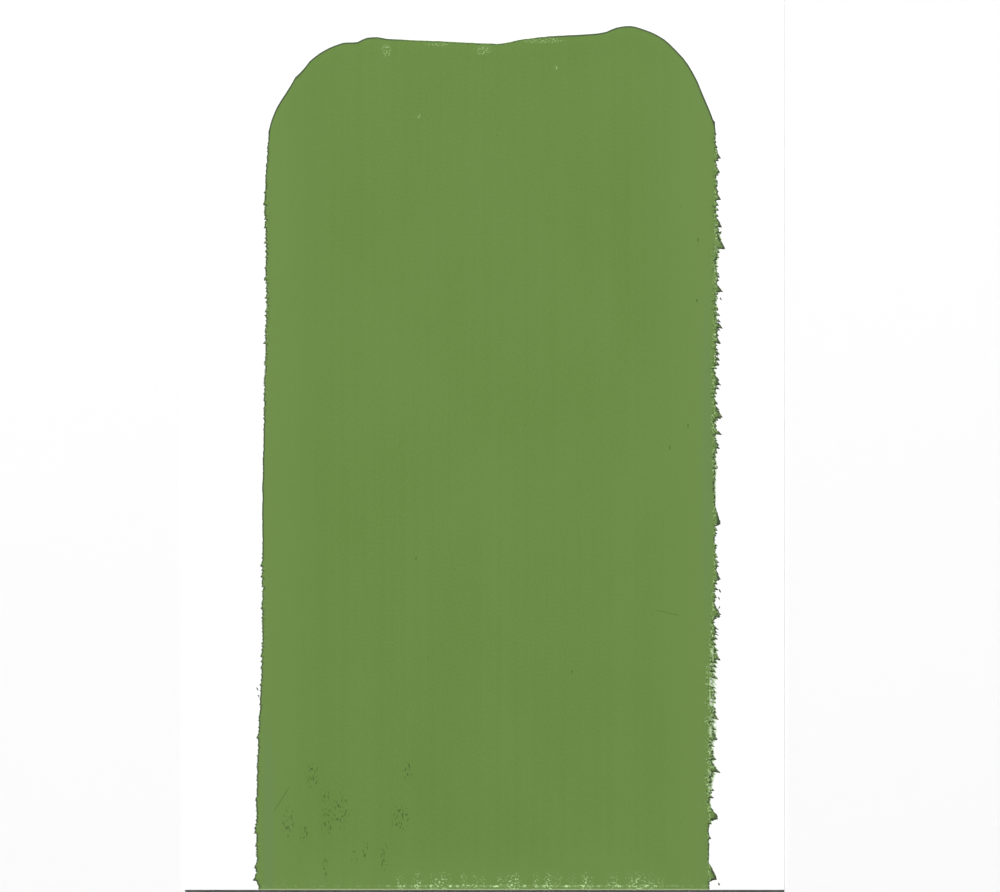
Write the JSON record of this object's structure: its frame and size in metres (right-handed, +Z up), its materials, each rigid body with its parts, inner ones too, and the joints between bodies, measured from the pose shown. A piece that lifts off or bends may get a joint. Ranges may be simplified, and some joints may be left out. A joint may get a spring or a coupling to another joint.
{
  "type": "paint drawdown card",
  "caption": "White sealed card carrying one dried film of green paint, drawn down with a wide bar, with ragged sides, loose flecks beside it and a straight trimmed end.",
  "frame": {"origin": "centre of the card's underside, on the surface it lies on", "axes": "+X across the card to the right, +Y along the card back to where the draw began, +Z up out of the painted face"},
  "size_m": [0.1016, 0.1524, 0.0006],
  "materials": {
    "card_board": "matte",
    "card_seal": "satin",
    "green_paint": "satin"
  },
  "bodies": {
    "root": {"card_core": "card_board", "card_seal_coat": "card_seal", "paint_film": "green_paint", "paint_fleck_right_1": "green_paint", "paint_fleck_right_2": "green_paint", "paint_fleck_right_3": "green_paint", "paint_fleck_right_4": "green_paint", "paint_fleck_right_5": "green_paint", "paint_fleck_right_6": "green_paint", "paint_fleck_right_7": "green_paint", "paint_fleck_right_8": "green_paint", "paint_fleck_left_1": "green_paint", "paint_fleck_left_2": "green_paint"}
  },
  "joints": []
}
